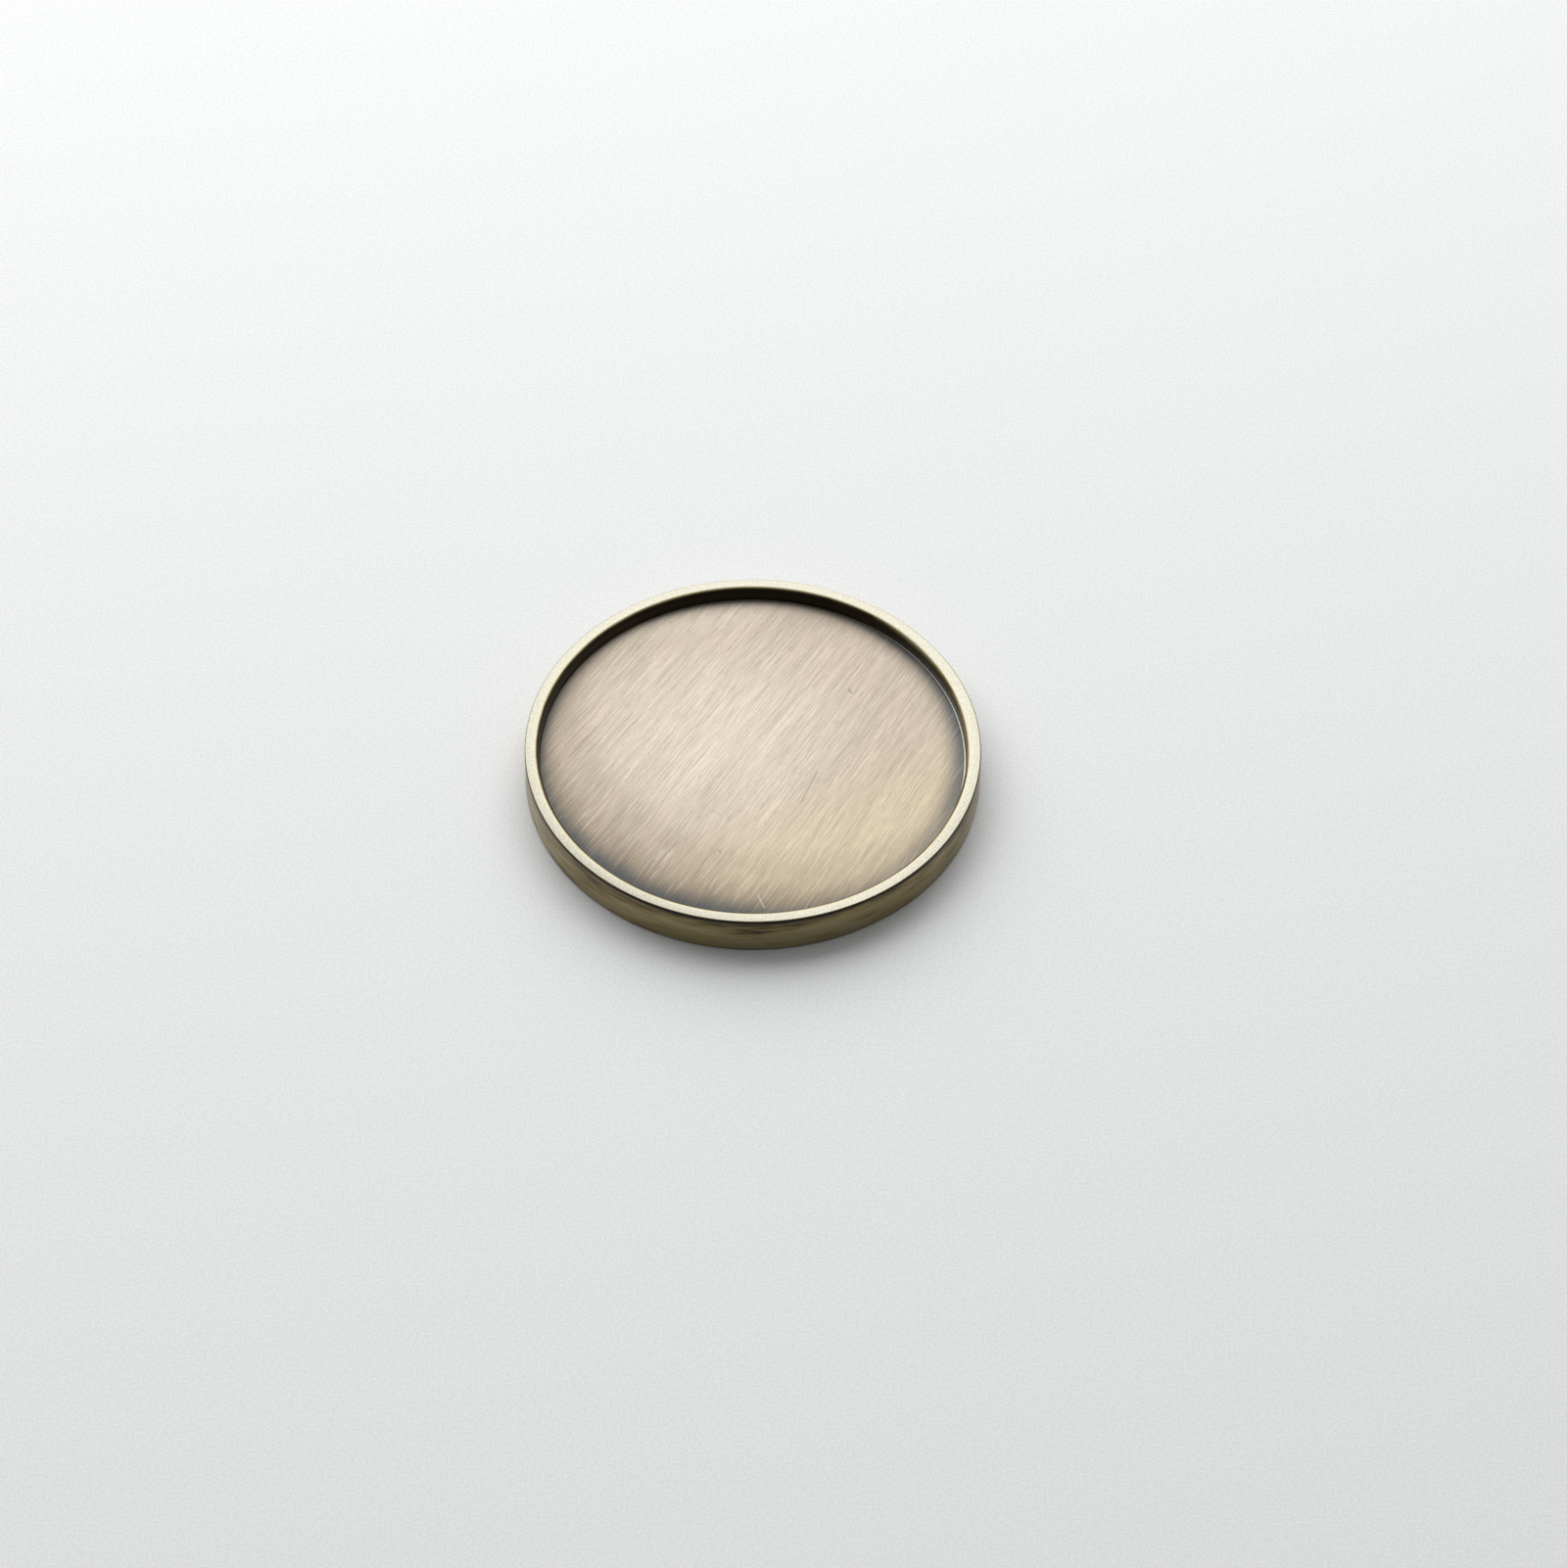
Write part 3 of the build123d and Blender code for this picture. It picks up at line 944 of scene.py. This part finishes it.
# %% Nickel plate
NICKEL_DARK, NICKEL_PALE = (0.62, 0.60, 0.56, 1.0), (0.72, 0.70, 0.66, 1.0)
NICKEL_SCRATCH = (0.30, 0.29, 0.27, 1.0)
nickel_finish, tree, shader, place_in = new_material("bright_nickel")
marks = use_group(tree, turning, {
    "Vector": place_in, "Mark Width": 0.09 * MM, "Mark Length": 1.8 * MM, "Seed": 12.0,
})
wear_and_reflection = use_group(tree, brushing, {
    "Vector": place_in, "Turn": 0.4, "Converge": 0.05,
    "Stroke Width": 0.08 * MM, "Stroke Length": 1.4 * MM, "Seed": 14.0,
})
colour = blend(tree, remap(tree, marks["Patches"], 0.35, 0.65), NICKEL_DARK, NICKEL_PALE)
colour = blend(tree, calc(tree, "MULTIPLY", wear_and_reflection["Dark Scratch"], 0.5), colour, NICKEL_SCRATCH)
roughness = remap(tree, wear_and_reflection["Hairs"], 0.35, 0.7, 0.14, 0.30, smooth=False)
shader.inputs["Metallic"].default_value = 1.0
finish_piece(magnet.data, nickel_finish, tree, shader, colour, roughness, wear_and_reflection["Hairs"], 0.15)

# %% Epoxy
AMBER_DEEP, AMBER_PALE = (0.42, 0.30, 0.13, 1.0), (0.62, 0.50, 0.28, 1.0)
epoxy_finish, tree, shader, place_in = new_material("amber_epoxy")
clouds = put(tree, "ShaderNodeTexNoise", {"Vector": place_in, "Scale": 900.0, "Detail": 3.0}).outputs[0]
colour = blend(tree, remap(tree, clouds, 0.3, 0.7), AMBER_DEEP, AMBER_PALE)
roughness = remap(tree, clouds, 0.3, 0.7, 0.12, 0.28)
finish_piece(glue.data, epoxy_finish, tree, shader, colour, roughness)

# %% Adhesive film
FILM_PRINT, FILM_PALE = (0.74, 0.73, 0.69, 1.0), (0.86, 0.85, 0.81, 1.0)
film_finish, tree, shader, place_in = new_material("tape_film")
print_dots = put(tree, "ShaderNodeTexVoronoi", {"Vector": place_in, "Scale": 2500.0}).outputs["Distance"]
colour = blend(tree, remap(tree, print_dots, 0.1, 0.5), FILM_PRINT, FILM_PALE)
roughness = remap(tree, print_dots, 0.0, 0.6, 0.35, 0.6)
film = frame["nodes"]["face_film"].data
film.materials.clear()
finish_piece(film, film_finish, tree, shader, colour, roughness)

# %% [markdown]
# ## Floor
#
# The marker lies on a plain pale sheet. Its surface isn't quite even: a very fine grain keeps it
# from looking like a computer's white.

# %% Floor mesh and material
FLOOR_HALF = 2.0                # half the sheet's width, in metres
SHEET_GREY, SHEET_PALE = (0.862, 0.867, 0.865, 1.0), (0.948, 0.953, 0.951, 1.0)
floor_mesh = bpy.data.meshes.new("floor")
floor_corners = [(FLOOR_HALF * x, FLOOR_HALF * y, 0) for x, y in ((-1, -1), (1, -1), (1, 1), (-1, 1))]
floor_mesh.from_pydata(floor_corners, [], [(0, 1, 2, 3)])
floor = bpy.data.objects.new("floor", floor_mesh)
bpy.context.scene.collection.objects.link(floor)
floor_finish, tree, shader, place_in = new_material("pale_sheet")
grain = put(tree, "ShaderNodeTexNoise", {"Vector": place_in, "Scale": 7000.0, "Detail": 3.0}).outputs[0]
colour = blend(tree, remap(tree, grain, 0.35, 0.65), SHEET_GREY, SHEET_PALE)
tree.links.new(colour, shader.inputs["Base Color"])
shader.inputs["Roughness"].default_value = 0.6
shader.inputs["Specular IOR Level"].default_value = 0.25
floor_mesh.materials.append(floor_finish)
print(f"floor {2 * FLOOR_HALF:.0f} m square")

# %% [markdown]
# ## Light
#
# Metal shows what is around it, so its look is made by the size and place of the lamps more than
# by their power. One wide softbox stands behind the marker, a little to the left, so that the
# flat faces mirror it towards the camera. The room round it is pale at the back and darker at the
# front, and the dark front is what gives the shadow in front of the marker its depth.

# %% Softbox
SOFTBOX_PLACE = Vector((-0.062, 0.23, 0.214))
softbox = bpy.data.lights.new("back_left_softbox", "AREA")
softbox.shape = "RECTANGLE"
softbox.size, softbox.size_y = 0.55, 0.36
softbox.energy = 1.28
lamp = bpy.data.objects.new("back_left_softbox", softbox)
facing_marker = (-SOFTBOX_PLACE).to_track_quat("-Z", "Y").to_matrix().to_4x4()
lamp.matrix_world = Matrix.Translation(SOFTBOX_PLACE) @ facing_marker
lamp.visible_camera = False
bpy.context.scene.collection.objects.link(lamp)
print(f"softbox {SOFTBOX_PLACE.length:.2f} m from the marker")

# %% Room
ROOM_COLOUR = (0.97, 0.985, 1.0, 1.0)
TO_BACK, TO_TOP, ALL_ROUND, DARKEST = 0.45, 0.25, 0.20, 0.04
room = bpy.data.worlds.new("grey_room")
room.use_nodes = True
tree = room.node_tree
look = put(tree, "ShaderNodeTexCoord").outputs["Generated"]
_, back, up = put(tree, "ShaderNodeSeparateXYZ", {0: look}).outputs
sky = calc(tree, "MULTIPLY_ADD", back, TO_BACK, calc(tree, "MULTIPLY_ADD", up, TO_TOP, ALL_ROUND))
background = tree.nodes["Background"]
background.inputs["Color"].default_value = ROOM_COLOUR
tree.links.new(calc(tree, "MAXIMUM", sky, DARKEST), background.inputs["Strength"])
bpy.context.scene.world = room
bpy.context.scene.view_settings.view_transform = "Standard"
print(f"room: {ALL_ROUND + TO_BACK:.2f} at the back, {DARKEST} at the front")

# %% [markdown]
# ## Camera
#
# A long lens a third of a metre away, looking down at just under fifty degrees. The camera is
# moved sideways rather than turned, so that the marker sits a little left of the middle.

# %% Place the camera
CAMERA_DISTANCE = 0.340
CAMERA_RISE = np.radians(49.08)
CAMERA_ROLL = np.radians(0.72)
CAMERA_ASIDE, CAMERA_UP = 1.696 * MM, -0.492 * MM
VIEW_WIDTH = 86.28 * MM         # width of what the camera sees at the marker

forward = Vector((0, np.cos(CAMERA_RISE), -np.sin(CAMERA_RISE)))
right = Vector((1, 0, 0))
upward = Vector((0, np.sin(CAMERA_RISE), np.cos(CAMERA_RISE)))
lens = bpy.data.cameras.new("camera")
lens.sensor_fit = "HORIZONTAL"
lens.sensor_width = 36.0
lens.lens = lens.sensor_width * CAMERA_DISTANCE / VIEW_WIDTH
lens.clip_start = 0.01
camera = bpy.data.objects.new("camera", lens)
eye = -forward * CAMERA_DISTANCE + right * CAMERA_ASIDE + upward * CAMERA_UP
axes = Matrix((right, upward, -forward)).transposed().to_4x4()
camera.matrix_world = Matrix.Translation(eye) @ axes @ Matrix.Rotation(CAMERA_ROLL, 4, "Z")
bpy.context.scene.collection.objects.link(camera)
bpy.context.scene.camera = camera
print(f"camera: {lens.lens:.1f} mm lens, {CAMERA_DISTANCE} m away")
